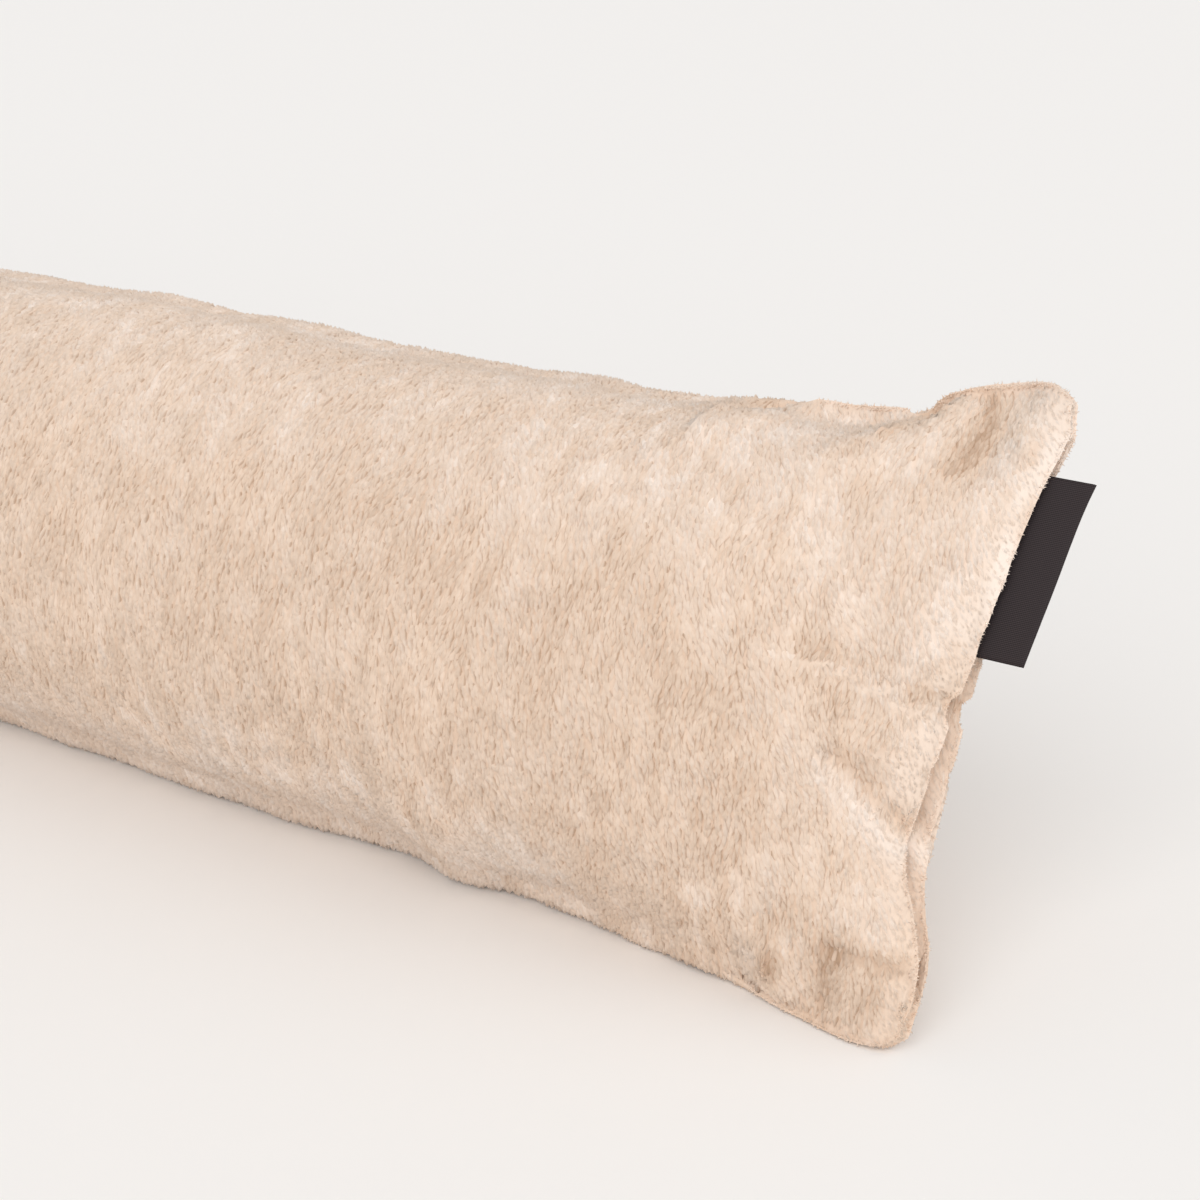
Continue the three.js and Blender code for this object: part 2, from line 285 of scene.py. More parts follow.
# %% [markdown]
# The cloth itself lies one pile height deeper than the solid, which reaches as far as the pile does. At
# a sharp edge, such as a lip or an ear, it can't sink deeper than the edge is round, or it would turn
# inside out. So the bend between neighbouring points limits the sinking there.

# %% How deep the cloth lies
PILE_HEIGHT = 1.2 * MM
ROUND_SHARE = 0.3
LEAST_BEND = 1e-3
EVENING_ROUNDS = 4


def sinking(mesh, points, normals):
    """How deep the cloth may lie below each point: one pile height, less where an edge is sharp."""
    ends = np.zeros(len(mesh.edges) * 2, np.int32)
    mesh.edges.foreach_get("vertices", ends)
    first, second = ends.reshape(-1, 2).T
    step = points[second] - points[first]
    # on a circle of radius r, a point one step away lies step * step / 2r lower
    bend = np.zeros(len(points))
    for start, sign in ((first, -1), (second, 1)):
        drop = sign * (normals[start] * step).sum(axis=1)
        np.maximum.at(bend, start, 2 * drop / (step * step).sum(axis=1))
    sink = np.minimum(PILE_HEIGHT, ROUND_SHARE / np.maximum(bend, LEAST_BEND))
    neighbours = np.bincount(ends, minlength=len(points))
    for _ in range(EVENING_ROUNDS):
        total = np.bincount(first, sink[second], len(points)) + np.bincount(second, sink[first], len(points))
        sink = np.minimum(sink, total / neighbours)
    return sink


points, normals = read_points(cover.data)
sink = sinking(cover.data, points, normals)
sharp = 1 - sink / PILE_HEIGHT
print("points on sharp edges, about:", int(sharp.sum()))

# %% [markdown]
# Now the cover gets its own small forms, as one rise or fall for each point. Filling makes low lumps, and
# the creases go in. A displacement modifier could do it from a texture, but the creases are lines that
# have to lie where the photograph has them, so the points are moved by their places.

# %% Lumps and creases
LUMPS = ((16 * MM, 0.35 * MM), (6.5 * MM, 0.3 * MM))

rise = np.zeros(len(points))
for seed, (size, height) in enumerate(LUMPS):
    rise += height * wander(points, size, seed)
for depth, _, nearness in near_creases(points, normals):
    rise -= depth * nearness
print("lumps and creases in mm, from", (rise.min() / MM).round(2), "to", (rise.max() / MM).round(2))

# %% [markdown]
# The stitches draw the long seams in: the upper one in a narrow valley, with a notch where the ear begins,
# and the lower one broadly. Towards the ears the seams are as the solid has them.

# %% Drawn-in seams
SEAM_DRAW = 1.8 * MM
DRAWN_BETWEEN = (25 * MM, 50 * MM)
SEAM_HALF = 12 * MM
LOWER_SEAM_HALF = 32 * MM
NOTCH_FROM_SEAM = 36 * MM
NOTCH_DEPTH = 1.0 * MM
NOTCH_HALF = 12 * MM

up, out = on_seam_plane(points)
distance = from_seam(points)
draw = SEAM_DRAW * smooth_step(distance, *DRAWN_BETWEEN)
notch = NOTCH_DEPTH * np.exp(-(((distance - NOTCH_FROM_SEAM) / NOTCH_HALF) ** 2))
draw += np.where((up > 0) & (points[:, 0] > 0), notch, 0)
rise -= draw * np.exp(-((out / np.where(up > 0, SEAM_HALF, LOWER_SEAM_HALF)) ** 2))
print("deepest draw in mm:", (draw.max() / MM).round(2))

# %% [markdown]
# The points then move along their normals. The lips are left a little rough and stand out past the end
# seams, because two thick layers meet there. Where the cushion rests on the floor it stays flat. Sharp
# edges are marked, so that the shading doesn't run round them.

# %% Moving the cover
LIP_REACH = 6 * MM
LIP_GROWTH = 2.0 * MM
LIP_ROUGHNESS = 0.18 * MM
ROUGH_SPOTS = (2 * MM, 5)
FLOOR_FACING = (0.1, 0.4)
FLOOR_EDGE = 10 * MM
COVER_CLEAR = 0.3 * MM

rise = rise * (1 - sharp) - sink + LIP_ROUGHNESS * sharp * wander(points, *ROUGH_SPOTS)
facing_floor = smooth_step(-normals[:, 2], *FLOOR_FACING)
off_floor = 1 - facing_floor * (1 - smooth_step(points[:, 2], 0, FLOOR_EDGE))
points += normals * (rise * off_floor)[:, None]
points[:, 0] += np.sign(points[:, 0]) * LIP_GROWTH * np.exp(-((distance / LIP_REACH) ** 2))
points[:, 2] = np.maximum(points[:, 2], COVER_CLEAR)
cover.data.vertices.foreach_set("co", points.astype(np.float32).ravel())
cover.data.update()
cover.data.shade_smooth()
cover.data.set_sharp_from_angle(angle=LIP_ANGLE)
print("moved out in mm, from", (rise.min() / MM).round(2), "to", (rise.max() / MM).round(2))

# %% [markdown]
# The pile is what makes the cushion: short soft fibres that lean down the front, stick together in
# small tufts and leave fine cracks between them. Hair particles would draw it, but a part has to
# be plain mesh. So each tuft is a small lying mound of four triangles, and the tufts are spread over
# the cover by its area. First come the roots. The floor side stays plain, and the sharpest edges get
# a fuzz of their own later.

# %% Roots of the pile
TUFT_AREA_MM2 = 1.8
BARE_EDGE = 0.6
UNDERSIDE_BELOW = 1.2 * MM
UNDERSIDE_FACING = -0.3
NEXT_TO_NOTHING = 1e-12


def unit(vectors):
    """The same directions with a length of 1."""
    return vectors / (np.linalg.norm(vectors, axis=-1, keepdims=True) + NEXT_TO_NOTHING)


def spread_roots(mesh, spot_area, least_sharp=0.0):
    """Random places over a mesh, one for each spot_area, where it is sharp enough.

    With each place come the normal of its face, the smooth way out and the sharpness."""
    mesh.calc_loop_triangles()
    corners = np.zeros(len(mesh.loop_triangles) * 3, np.int32)
    mesh.loop_triangles.foreach_get("vertices", corners)
    corners = corners.reshape(-1, 3)
    places, ways = read_points(mesh)
    a, b, c = (places[corners[:, k]] for k in range(3))
    square = np.cross(b - a, c - a)
    wanted = sharp[corners].min(axis=1) >= least_sharp
    reach = np.cumsum(wanted * np.linalg.norm(square, axis=1) / 2)
    count = int(reach[-1] / spot_area)
    steps = (np.arange(count) + RANDOM.random(count)) * reach[-1] / count
    chosen = np.minimum(np.searchsorted(reach, steps), len(reach) - 1)
    share = RANDOM.random((count, 2))
    folded = share.sum(axis=1) > 1
    share[folded] = 1 - share[folded]
    weights = np.column_stack([1 - share.sum(axis=1), share])
    roots = (weights[..., None] * places[corners[chosen]]).sum(axis=1)
    way_out = unit((weights[..., None] * ways[corners[chosen]]).sum(axis=1))
    return roots, unit(square[chosen]), way_out, (weights * sharp[corners[chosen]]).sum(axis=1)


roots, outward, _, root_sharp = spread_roots(cover.data, TUFT_AREA_MM2 * MM**2)
shows = (roots[:, 2] > UNDERSIDE_BELOW) | (outward[:, 2] > UNDERSIDE_FACING)
shows &= root_sharp < BARE_EDGE
roots = roots[shows]
outward = outward[shows]
root_sharp = root_sharp[shows]
print("roots:", len(roots))

# %% [markdown]
# The nap is the way that the fibres lie. It runs round the roll, down the front panel and up the
# back one, a little towards the labelled end, and beside the end seams it turns outwards over the
# lips. Brushing turns it this way and that. One slow noise and one of narrow streaks make these turns.

# %% Nap
PATCHES = ((13 * MM, 19 * MM, 19 * MM), 11)
STREAKS = ((3.5 * MM, 10 * MM, 10 * MM), 12)
PATCH_TURN = 0.3
STREAK_TURN = 0.25
TUFT_TURN = 0.15
LIP_TURN = 0.8
NAP_LEAN = 0.2
PANEL_PULL = 0.15

near_lip = np.exp(-((from_seam(roots) / LIP_REACH) ** 2))
_, out_front = on_seam_plane(roots)
to_end = np.sign(roots[:, 0])[:, None] * ALONG
round_roll = unit(np.cross(ALONG, outward + PANEL_PULL * OUT_FRONT * np.sign(out_front)[:, None]))
nap = round_roll + NAP_LEAN * ALONG + LIP_TURN * near_lip[:, None] * to_end
nap = unit(nap - outward * (nap * outward).sum(axis=1, keepdims=True))
side = np.cross(outward, nap)
turn = PATCH_TURN * wander(roots, *PATCHES) + STREAK_TURN * wander(roots, *STREAKS)
turn += TUFT_TURN * RANDOM.normal(size=len(roots))
nap = nap * np.cos(turn)[:, None] + side * np.sin(turn)[:, None]
side = np.cross(outward, nap)
print("tufts beside the end seams, about:", int(near_lip.sum()))

# %% [markdown]
# Where the nap is turned it catches the light and looks paler or deeper, in patches as wide as a
# thumb: painted sheen. The upper part gets a painted sheen, and the lower edge painted light thrown up
# from the floor, both with small pale flecks. Beside the end seams the smooth pile gets a painted
# sheen. The creases add painted shade and highlights.

# %% Painted sheen and shade of the nap
FLECKS = ((3.5 * MM, 7 * MM, 7 * MM), 16)
FLECK_GROUPS = (30 * MM, 17)
GROUPING = 0.5
# where each kind of tone begins and is full: noise, distance up the seam plane, distance from the end seam
PATCH_RANGE = (-0.1, 0.7)
FLECK_RANGE = (0.1, 0.7)
UNFLECKED_LEVEL = -8 * MM
FLECKED_BEYOND = (22 * MM, 45 * MM)
UPPER_LEVELS = (5 * MM, 35 * MM)
LOWER_DEPTHS = (48 * MM, 68 * MM)
LOWER_FROM_SEAM = (60 * MM, 120 * MM)
PALE_LIP_LEVELS = (-60 * MM, -30 * MM)
PALE_LIP_REACH = 13 * MM
PATCH_TONE = 0.2
STREAK_TONE = 0.28
FLECK_TONE = 0.42
UPPER_SHEEN = 0.28
LOWER_FLOOR_LIGHT = 0.45
LIP_SHEEN = 0.42
TUFT_TONE = 0.1
LEAST_TONE = 0.5


def sheen_and_shade_tone(points, normals):
    """How much painted sheen or light the nap gets at each point, or painted shade where it is below 0."""
    up, _ = on_seam_plane(points)
    distance = from_seam(points)
    flecked = smooth_step(np.abs(up - UNFLECKED_LEVEL), *FLECKED_BEYOND)
    fleck = wander(points, *FLECKS) + GROUPING * wander(points, *FLECK_GROUPS)
    floor_lit = smooth_step(-up, *LOWER_DEPTHS) * smooth_step(distance, *LOWER_FROM_SEAM)
    lip_sheen_mask = np.exp(-((distance / PALE_LIP_REACH) ** 2)) * smooth_step(up, *PALE_LIP_LEVELS)
    # painted sheen and shade where the nap turns, in patches and streaks
    tone = PATCH_TONE * smooth_step(wander(points, *PATCHES), *PATCH_RANGE)
    tone += STREAK_TONE * wander(points, *STREAKS)
    tone += FLECK_TONE * smooth_step(fleck, *FLECK_RANGE) * flecked
    # painted sheen on the upper part
    tone += UPPER_SHEEN * smooth_step(up, *UPPER_LEVELS)
    # painted light thrown up from the floor on the lower edge
    tone += LOWER_FLOOR_LIGHT * floor_lit
    # painted sheen beside the end seams
    tone += LIP_SHEEN * lip_sheen_mask
    # painted shade in the creases and painted highlights on their ridges
    for _, crease_shade_or_highlight, nearness in near_creases(points, normals):
        tone += crease_shade_or_highlight * nearness
    return tone


tone = sheen_and_shade_tone(roots, outward) * (LEAST_TONE + RANDOM.random(len(roots)))
tone += TUFT_TONE * RANDOM.normal(size=len(roots))
print("tone from", tone.min().round(2), "to", tone.max().round(2))

# %% [markdown]
# A tuft rises slowly from its back to a crown near its tip, and drops to its sides below the cloth,
# so that neighbours meet in a crack. A finer mesh could round it, but many tufts are needed. So it has
# four flat faces, and given normals that lean from the crown to the rim.

# %% Shape of a tuft
# tip, one side, back, other side and crown: how far down the nap, across it and out of the cloth,
# as shares of the tuft's sizes
TUFT_SHAPE = np.array([[0.55, 0, -0.2], [0.05, 0.5, -0.3], [-0.45, 0, -0.3], [0.05, -0.5, -0.3], [0.2, 0, 1]])
# the same five points: how far the normal leans down the nap and across it
TUFT_ROUNDING = np.array([[0.6, 0], [0.05, 0.7], [-0.2, 0], [0.05, -0.7], [0.1, 0]])
# how much of the fibre's tip shows at each of them, where less paints the shade of the roots, and
# their places in a cell of the bake map
TUFT_TIP = np.array([0.55, 0.5, 0.5, 0.5, 1])
TUFT_MAP = np.array([[0.5, 1], [0, 0.5], [0.5, 0], [1, 0.5], [0.5, 0.6]])
TUFT_SIDES = (1, 3)
TUFT_FACES = np.array([[0, 1, 4], [1, 2, 4], [2, 3, 4], [3, 0, 4]])
print("triangles in a tuft:", len(TUFT_FACES))

# %% [markdown]
# No two tufts are the same size. Along a lip they are small and low, as short pile is on a bend. Long
# fine cracks, where the tufts are lower, part the pile in places.

# %% Sizes of the tufts
TUFT_LENGTH = 6.0 * MM
TUFT_WIDTH = 2.0 * MM
TUFT_HEIGHT = 1.1 * MM
LENGTH_SEED = 31
WIDTH_SEED = 32
HEIGHT_SEED = 33
UNEVEN_SIZE = 6 * MM
UNEVEN_SPREAD = 0.2
OWN_SPREAD = 0.5
EDGE_TRIM = 0.6
EDGE_DROP = 0.5
CRACKS = ((4 * MM, 13 * MM, 13 * MM), 14)
CRACK_WIDTH = 0.18
CRACK_DEPTH = 0.5
PARTED_PLACES = (28 * MM, 15)
PARTED_RANGE = (-0.4, 0.4)


def uneven(size, seed):
    """One size for each tuft, wandering from place to place and from tuft to tuft."""
    share = wander(roots, UNEVEN_SIZE, seed) + OWN_SPREAD * RANDOM.normal(size=len(roots))
    return size * (1 + UNEVEN_SPREAD * share)


parted = smooth_step(wander(roots, *PARTED_PLACES), *PARTED_RANGE) * (1 - near_lip)
crack = np.exp(-((wander(roots, *CRACKS) / CRACK_WIDTH) ** 2)) * parted
smooth_edge = np.maximum(near_lip, root_sharp)
trim = 1 - EDGE_TRIM * smooth_edge
length = uneven(TUFT_LENGTH, LENGTH_SEED) * trim
width = uneven(TUFT_WIDTH, WIDTH_SEED) * trim
height = uneven(TUFT_HEIGHT, HEIGHT_SEED) * (1 - EDGE_DROP * smooth_edge) * (1 - CRACK_DEPTH * crack)
print("mean tuft in mm:", (length.mean() / MM).round(2), (width.mean() / MM).round(2))

# %% [markdown]
# On the open panels a tuft can lie flat. Near the seams the cloth turns sharply, so there each point of
# a tuft is laid on the nearest place of the cover. A tuft that would be bent round an edge is made
# shorter and laid again, and left out if that doesn't help.

# %% Laying the tufts
TIGHT_REACH = 60 * MM
SEAM_BAND = 25 * MM
MOST_BEND = math.cos(math.radians(60))
MOST_SHIFT = 0.8 * MM
LAY_TRIES = 3
SHORTER = 0.55
LOWER = 0.7


def flat_feet(tufts):
    """Where the points of some tufts would be on a flat cloth."""
    ways = np.stack([nap[tufts] * length[tufts, None], side[tufts] * width[tufts, None]], 1)
    return roots[tufts, None, :] + np.einsum("pk,tkx->tpx", TUFT_SHAPE[:, :2], ways)


points, _ = read_points(cover.data)
quads = np.array([face.vertices for face in cover.data.polygons])
quad_normals = np.array([face.normal for face in cover.data.polygons])
cover_tree = BVHTree.FromPolygons(points.tolist(), quads.tolist())
feet = flat_feet(np.arange(len(roots)))
foot_normals = np.repeat(outward[:, None, :], len(TUFT_SHAPE), axis=1)
loose = np.flatnonzero((from_seam(roots) < TIGHT_REACH) | (np.abs(out_front) < SEAM_BAND))
for _ in range(LAY_TRIES):
    flat = flat_feet(loose)
    for row, tuft in enumerate(loose):
        for corner in range(len(TUFT_SHAPE)):
            place, _, quad, _ = cover_tree.find_nearest(flat[row, corner])
            feet[tuft, corner] = place
            foot_normals[tuft, corner] = quad_normals[quad]
    bend = (foot_normals[loose] * outward[loose, None, :]).sum(axis=2).min(axis=1)
    shift = np.linalg.norm(feet[loose] - flat, axis=2).max(axis=1)
    loose = loose[(bend < MOST_BEND) | (shift > MOST_SHIFT)]
    length[loose] *= SHORTER
    width[loose] *= SHORTER
    height[loose] *= LOWER
    print("tufts still to lay:", len(loose))
lies_well = np.ones(len(roots), bool)
lies_well[loose] = False
print("tufts that lie well:", int(lies_well.sum()))

# %% [markdown]
# The tufts then rise from their feet, and their normals are rounded. Most tufts have one side in painted
# shade, in the colour of the roots, which makes the fine dark strokes between the locks. Light is
# lost less in the thin pile of an edge, so there the tufts are paler all over.

# %% Points, normals and painted shade of the tufts
TUFT_CLEAR = 0.2 * MM
PAINTED_SHADE_SHARE = 0.8
PAINTED_SHADE_TIP = -0.6
EDGE_PALER = 0.5

tuft_points = feet + foot_normals * (TUFT_SHAPE[:, 2] * height[:, None])[..., None]
tuft_points[..., 2] = np.maximum(tuft_points[..., 2], TUFT_CLEAR)
leans = np.einsum("pk,tkx->tpx", TUFT_ROUNDING, np.stack([nap, side], 1)) * trim[:, None, None]
tuft_normals = unit(foot_normals + leans)
tuft_tip = np.tile(TUFT_TIP, (len(roots), 1))
# one side of most tufts gets painted shade
painted_shade_tufts = np.flatnonzero(RANDOM.random(len(roots)) < PAINTED_SHADE_SHARE)
tuft_tip[painted_shade_tufts, RANDOM.choice(TUFT_SIDES, len(painted_shade_tufts))] = PAINTED_SHADE_TIP * RANDOM.random(len(painted_shade_tufts))
tuft_tip = 1 - (1 - tuft_tip) * (1 - EDGE_PALER * smooth_edge[:, None])
print("tufts with a deeper side:", len(painted_shade_tufts))

# %% [markdown]
# Geometry Nodes could copy one tuft to many places, but these tufts all differ in shape. Arrays fill a
# few joined meshes in one go, and give each tuft its own tone, its own normals and its own cell of the
# map that the colours are baked to.

# %% Many copies in one mesh
TRIANGLE_LIMIT = 200_000
CELL_MARGIN = 0.05


def add_values(mesh, name, values):
    """One number for each point of a mesh, which a material can read by name."""
    mesh.attributes.new(name, "FLOAT", "POINT").data.foreach_set("value", values.astype(np.float32))


def joined_mesh(name, copies, faces, face_map, tips, tones):
    """A piece of many small copies of one shape, each with its own cell of the bake map.

    copies has the points of each copy, and tips has a value for each of them. tones has one for each
    copy. face_map has a place in the cell for each corner of each face."""
    count, corners = copies.shape[:2]
    all_faces = (np.arange(count)[:, None, None] * corners + faces).reshape(-1, 3)
    if len(all_faces) >= TRIANGLE_LIMIT:
        raise ValueError(f"{name} has too many triangles")
    mesh = bpy.data.meshes.new(name)
    mesh.vertices.add(count * corners)
    mesh.vertices.foreach_set("co", copies.astype(np.float32).ravel())
    mesh.loops.add(all_faces.size)
    mesh.loops.foreach_set("vertex_index", all_faces.ravel().astype(np.int32))
    mesh.polygons.add(len(all_faces))
    mesh.polygons.foreach_set("loop_start", np.arange(0, all_faces.size, 3, dtype=np.int32))
    mesh.update(calc_edges=True)
    mesh.shade_smooth()
    add_values(mesh, "tip", tips.ravel())
    add_values(mesh, "tone", np.repeat(tones, corners))
    columns = math.ceil(math.sqrt(count))
    cell = np.column_stack(np.divmod(np.arange(count), columns))
    places = (cell[:, None, None, :] + CELL_MARGIN + (1 - 2 * CELL_MARGIN) * face_map) / columns
    bake_map = mesh.uv_layers.new(name="OFBake", do_init=False)
    bake_map.data.foreach_set("uv", places.astype(np.float32).ravel())
    piece = bpy.data.objects.new(name, mesh)
    bpy.context.scene.collection.objects.link(piece)
    print(name, "copies:", count, "triangles:", len(all_faces))
    return piece


print("most triangles in a piece:", TRIANGLE_LIMIT)

# %% [markdown]
# The pile is one coat on the real cushion. Here it is cut into six pieces, by panel and by stretch of the
# roll, because a piece with all the tufts would be too heavy to handle.

# %% Pieces of the pile
LABELLED_FROM_X = 0.15
PLAIN_TO_X = -0.15


def pile_piece(name, chosen):
    """One joined mesh of the chosen tufts that lie well."""
    chosen = chosen & lies_well
    face_map = TUFT_MAP[TUFT_FACES]
    piece = joined_mesh(name, tuft_points[chosen], TUFT_FACES, face_map, tuft_tip[chosen], tone[chosen])
    piece.data.normals_split_custom_set_from_vertices(tuft_normals[chosen].reshape(-1, 3).tolist())
    return piece


stretches = {
    "labelled": roots[:, 0] > LABELLED_FROM_X,
    "middle": (roots[:, 0] <= LABELLED_FROM_X) & (roots[:, 0] >= PLAIN_TO_X),
    "plain": roots[:, 0] < PLAIN_TO_X,
}
pile_pieces = []
for stretch, within in stretches.items():
    pile_pieces.append(pile_piece(f"pile_front_{stretch}", within & (out_front > 0)))
    pile_pieces.append(pile_piece(f"pile_back_{stretch}", within & (out_front <= 0)))

# %% [markdown]
# The lips and the ears are too sharp for lying tufts, and bare cloth there would look like clay. On the
# real cushion the fibres stand out from such an edge in a fine fuzz. Single fibres would be too thin to
# show, so each lock of them is a closed spindle of eight triangles.

# %% Shape of a lock of fuzz
# outer end, four sides and inner end: along the spindle and both ways across it, as shares of its sizes
SPINDLE = np.array([[1, 0, 0], [0.5, 0.5, 0], [0.5, 0, 0.35], [0.5, -0.5, 0], [0.5, 0, -0.35], [0, 0, 0]])
OUTER_FACES = [[0, 1, 2], [0, 2, 3], [0, 3, 4], [0, 4, 1]]
INNER_FACES = [[5, 2, 1], [5, 3, 2], [5, 4, 3], [5, 1, 4]]
SPINDLE_FACES = np.array(OUTER_FACES + INNER_FACES)
# how much of the fibre's tip shows at each point of a lock; less paints the shade of the roots
SPINDLE_TIP = np.array([1, 0.8, 0.8, 0.8, 0.8, 0.6])
# each face has its own small square in the lock's cell of the bake map, three to a row
MAP_ROW = 3
FACE_CORNERS = np.array([[0.1, 0.1], [0.9, 0.1], [0.1, 0.9]])

face_squares = np.column_stack(np.divmod(np.arange(len(SPINDLE_FACES)), MAP_ROW)[::-1])
spindle_map = (face_squares[:, None, :] + FACE_CORNERS) / MAP_ROW
print("triangles in a lock:", len(SPINDLE_FACES))

# %% [markdown]
# The locks are spread over the sharp edges alone, by area as the tufts are. Each points out of the cloth
# with some disorder, and is half sunk in it. The locks keep the normals of their own shape, because a
# normal of the cloth can face away at the outline, and would turn a lock black there.

# %% Fuzz on the sharp edges
FUZZ_AREA_MM2 = 0.8
FUZZ_LEAST_SHARP = 0.25
FUZZ_LENGTH = 1.7 * MM
FUZZ_LENGTH_RANGE = (0.7, 1.3)
FUZZ_WIDTH = 0.6 * MM
FUZZ_SUNK = 0.55
FUZZ_DISORDER = 0.5

fuzz_roots, fuzz_normals, fuzz_way, _ = spread_roots(cover.data, FUZZ_AREA_MM2 * MM**2, FUZZ_LEAST_SHARP)
fuzz_count = len(fuzz_roots)
fuzz_way = unit(fuzz_way + FUZZ_DISORDER * RANDOM.normal(size=(fuzz_count, 3)))
fuzz_side = unit(np.cross(fuzz_way, RANDOM.normal(size=(fuzz_count, 3))))
fuzz_length = FUZZ_LENGTH * RANDOM.uniform(*FUZZ_LENGTH_RANGE, fuzz_count)
fuzz_axes = np.stack([fuzz_way, fuzz_side, np.cross(fuzz_way, fuzz_side)], 1)
fuzz_axes[:, 0] *= fuzz_length[:, None]
fuzz_axes[:, 1:] *= FUZZ_WIDTH
fuzz_points = fuzz_roots[:, None, :] + np.einsum("pk,tkx->tpx", SPINDLE - [FUZZ_SUNK, 0, 0], fuzz_axes)
fuzz_points[..., 2] = np.maximum(fuzz_points[..., 2], TUFT_CLEAR)
fuzz_tip = np.tile(SPINDLE_TIP, (fuzz_count, 1))
fuzz_tone = sheen_and_shade_tone(fuzz_roots, fuzz_normals)
pile_pieces.append(joined_mesh("edge_fuzz", fuzz_points, SPINDLE_FACES, spindle_map, fuzz_tip, fuzz_tone))

# %% [markdown]
# Materials are node trees, and sums of sockets are hard to read as nodes. One small class wraps a
# socket, so that plus, minus and times in Python add the Math nodes. Every other node comes from
# one method that takes the node's type, its settings and what goes into its sockets.

# %% Sockets that can be summed


class Wire:
    """An output of a node. Sums of wires and numbers become Math nodes."""

    def __init__(self, finish, socket):
        self.finish = finish
        self.socket = socket

    def maths(self, operation, first, second):
        """One Math node."""
        return self.finish.node("ShaderNodeMath", {"operation": operation}, {0: first, 1: second})

    def __add__(self, other):
        return self.maths("ADD", self, other)

    def __sub__(self, other):
        return self.maths("SUBTRACT", self, other)

    def __rsub__(self, other):
        return self.maths("SUBTRACT", other, self)

    def __mul__(self, other):
        return self.maths("MULTIPLY", self, other)

    __radd__ = __add__
    __rmul__ = __mul__


class Finish:
    """A material with one main shader, built node by node."""

    def __init__(self, name, **constants):
        self.material = bpy.data.materials.new(name)
        self.material.use_nodes = True
        self.tree = self.material.node_tree
        self.shader = self.tree.nodes["Principled BSDF"]
        for socket, value in constants.items():
            self.shader.inputs[socket.replace("_", " ")].default_value = value

    def node(self, kind, settings=None, inputs=None, output=0):
        """Any node, with its settings first and then the values or links of its sockets."""
        made = self.tree.nodes.new(kind)
        for name, value in (settings or {}).items():
            setattr(made, name, value)
        for name, value in (inputs or {}).items():
            if isinstance(value, Wire):
                self.tree.links.new(value.socket, made.inputs[name])
            else:
                made.inputs[name].default_value = value
        return Wire(self, made.outputs[output])

    def value(self, name):
        """A number that the mesh holds at its points."""
        return self.node("ShaderNodeAttribute", {"attribute_name": name}, output="Fac")

    def mix(self, share, first, second):
        """Two colours in one. A Mix node keeps its colours in inputs 6 and 7 and in output 2."""
        settings = {"data_type": "RGBA", "clamp_factor": True}
        return self.node("ShaderNodeMix", settings, {0: share, 6: first, 7: second}, output=2)

    def noise(self, place, scale, detail=2.0):
        """Cloudy noise from 0 to 1."""
        inputs = {"Vector": place, "Scale": scale, "Detail": detail}
        return self.node("ShaderNodeTexNoise", {"normalize": True}, inputs)

    def feed(self, socket, wire):
        """A link to a socket of the main shader."""
        self.tree.links.new(wire.socket, self.shader.inputs[socket])


print("reflected operators:", [name for name in vars(Wire) if name.startswith("__r")])

# %% [markdown]
# The plush is a warm beige. Light sinks in between the fibres, so the roots get a painted shade,
# deeper and warmer than the tips, and the nap's tones add painted sheen and shade. The soft gleam of
# fibres seen edge on is the shader's sheen, which is one number all over.

# %% Plush finish
# painted shade deep in the pile, where light sinks in between the fibres
ROOT_SHADE_COLOUR = (0.555, 0.387, 0.277, 1)
FIBRE_COLOUR = (0.837, 0.657, 0.52, 1)
SHEEN_AND_PALE_COLOUR = (0.955, 0.822, 0.722, 1)
SHADE_AND_DEEP_COLOUR = (0.525, 0.354, 0.242, 1)
GRAIN_SCALE = 900
GRAIN_STRETCH = (1, 0.4, 0.4)
GRAIN_HEIGHT = 0.3 * MM
GRAIN_MIDDLE = 0.5
GRAIN_SHARE = 0.8
TIP_CONTRAST = 2
ROOT_SHADE = 0.5
TONE_SHARE = 0.8

plush = Finish("plush", Roughness=0.95, Sheen_Weight=0.1, Sheen_Roughness=0.5, Specular_IOR_Level=0.15)
place = plush.node("ShaderNodeTexCoord", output="Object")
drawn_out = plush.node("ShaderNodeVectorMath", {"operation": "MULTIPLY"}, {0: place, 1: GRAIN_STRETCH})
tip_share = plush.value("tip")
tone_share = plush.value("tone")
grain = plush.noise(drawn_out, GRAIN_SCALE)
root_to_tip = TIP_CONTRAST * tip_share - ROOT_SHADE + GRAIN_SHARE * (grain - GRAIN_MIDDLE)
# the tip values paint shade towards the roots of the fibres
fibre_with_root_shade = plush.mix(root_to_tip, ROOT_SHADE_COLOUR, FIBRE_COLOUR)
# paler with painted sheen and light, deeper with painted shade, by the tone
paler_with_sheen = plush.mix(TONE_SHARE * tone_share, fibre_with_root_shade, SHEEN_AND_PALE_COLOUR)
plush.feed("Base Color", plush.mix(-TONE_SHARE * tone_share, paler_with_sheen, SHADE_AND_DEEP_COLOUR))
bump = plush.node("ShaderNodeBump", None, {"Distance": GRAIN_HEIGHT, "Height": grain})
plush.feed("Normal", bump)
print("plush nodes:", len(plush.tree.nodes))

# %% [markdown]
# The cover has the same finish as its pile, so that no ground of another colour shows in the cracks. It
# needs the same two values at its points: it is half way down the fibres, so it gets part of the painted
# shade of the roots, less so at a bare edge, and the painted sheen and shade of the nap.

# %% Plush on the cover and the pile
GROUND_TIP = 0.6
EDGE_TIP = 0.7

